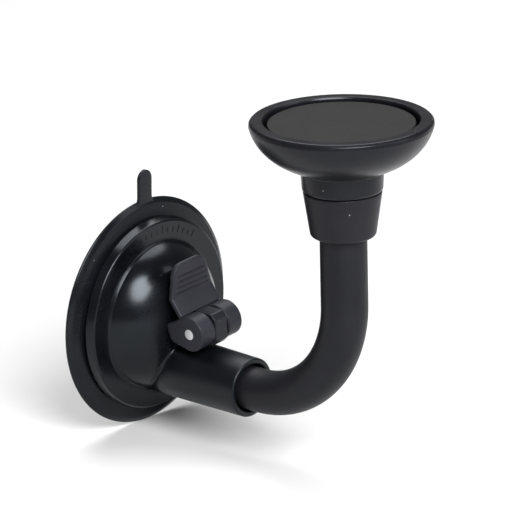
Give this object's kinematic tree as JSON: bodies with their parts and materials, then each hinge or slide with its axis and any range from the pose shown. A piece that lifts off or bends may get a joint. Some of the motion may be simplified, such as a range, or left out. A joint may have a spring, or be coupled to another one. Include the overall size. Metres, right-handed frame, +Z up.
{
  "type": "car phone mount",
  "caption": "Phone mount with a lever-locked suction cup, a bendable neck and a round magnetic head on a swivel.",
  "frame": {"origin": "middle of the suction cup's sealing plane", "axes": "+X along the cup's axis away from the glass, +Z up to the head, +Y across; the neck bends in the plane y = 0"},
  "size_m": [0.1079, 0.072, 0.1153],
  "materials": {
    "cup_rubber": "semi-gloss flexible black",
    "post_plastic": "semi-gloss black",
    "spring_steel": "bright",
    "housing_plastic": "glossy black",
    "lever_plastic": "satin black",
    "pin_steel": "bright",
    "ferrule_metal": "plain",
    "screw_steel": "zinc plated",
    "neck_rubber": "matte black",
    "core_steel": "plain",
    "collar_plastic": "satin black",
    "head_plastic": "semi-gloss black",
    "plate_steel": "plain",
    "carrier_plastic": "matte black",
    "magnet_metal": "nickel plated",
    "disc_rubber": "matte dark grey"
  },
  "bodies": {
    "base": {"suction_cup": "cup_rubber", "housing": "housing_plastic", "return_spring": "spring_steel", "base_ferrule": "ferrule_metal", "anchor_screw": "screw_steel", "neck_cover_1": "neck_rubber", "neck_core_1": "core_steel"},
    "neck_1": {"neck_cover_2": "neck_rubber", "neck_core_2": "core_steel"},
    "neck_2": {"neck_cover_3": "neck_rubber", "neck_core_3": "core_steel"},
    "neck_3": {"neck_cover_4": "neck_rubber", "neck_core_4": "core_steel"},
    "neck_4": {"neck_cover_5": "neck_rubber", "neck_core_5": "core_steel"},
    "neck_5": {"neck_cover_6": "neck_rubber", "neck_core_6": "core_steel"},
    "neck_6": {"neck_cover_7": "neck_rubber", "neck_core_7": "core_steel"},
    "neck_7": {"neck_cover_8": "neck_rubber", "neck_core_8": "core_steel", "top_ferrule": "ferrule_metal", "collar": "collar_plastic", "swivel_bolt": "screw_steel", "friction_washer": "spring_steel"},
    "head": {"head_shell": "head_plastic", "back_plate": "plate_steel", "magnet_carrier": "carrier_plastic", "magnet_1": "magnet_metal", "magnet_2": "magnet_metal", "magnet_3": "magnet_metal", "magnet_4": "magnet_metal", "magnet_5": "magnet_metal", "magnet_6": "magnet_metal", "grip_disc": "disc_rubber"},
    "plunger": {"plunger": "post_plastic", "lever_pin": "pin_steel"},
    "lever": {"lever": "lever_plastic"}
  },
  "joints": [
    {"name": "neck_bend_1", "type": "hinge", "parent": "base", "child": "neck_1", "pos_m": [0.0473, 0, -0.01515], "axis": [0, -1, 0], "range_deg": [-23, 8]},
    {"name": "neck_sway_1", "type": "hinge", "parent": "neck_1", "child": "neck_2", "pos_m": [0.05811, 0, -0.01341], "axis": [-0.3143, 0, 0.9493], "range_deg": [-20, 20]},
    {"name": "neck_bend_2", "type": "hinge", "parent": "neck_2", "child": "neck_3", "pos_m": [0.06783, 0, -0.00835], "axis": [0, -1, 0], "range_deg": [-23, 8]},
    {"name": "neck_sway_2", "type": "hinge", "parent": "neck_3", "child": "neck_4", "pos_m": [0.07547, 0, -0.0005], "axis": [-0.8188, 0, 0.5741], "range_deg": [-20, 20]},
    {"name": "neck_bend_3", "type": "hinge", "parent": "neck_4", "child": "neck_5", "pos_m": [0.08025, 0, 0.00935], "axis": [0, -1, 0], "range_deg": [-23, 8]},
    {"name": "neck_sway_3", "type": "hinge", "parent": "neck_5", "child": "neck_6", "pos_m": [0.08169, 0, 0.02021], "axis": [-0.9996, 0, -0.0279], "range_deg": [-20, 20]},
    {"name": "neck_bend_4", "type": "hinge", "parent": "neck_6", "child": "neck_7", "pos_m": [0.08138, 0, 0.03126], "axis": [0, -1, 0], "range_deg": [-23, 8]},
    {"name": "head_swivel", "type": "hinge", "parent": "neck_7", "child": "head", "pos_m": [0.08067, 0, 0.0567], "axis": [-0.0279, 0, 0.9996], "continuous": true},
    {"name": "plunger_slide", "type": "slide", "parent": "base", "child": "plunger", "axis": [1, 0, 0], "range_m": [-0.0022, 0], "deforming": ["suction_cup", "return_spring"]},
    {"name": "lever_throw", "type": "hinge", "parent": "plunger", "child": "lever", "pos_m": [0.0269, -0.00008, 0.001], "axis": [0, 0.9971, 0.0767], "range_deg": [0, 90]}
  ],
  "couplings": [
    {"joint": "lever_throw", "follows": "plunger_slide", "rad_per_m": -714}
  ]
}
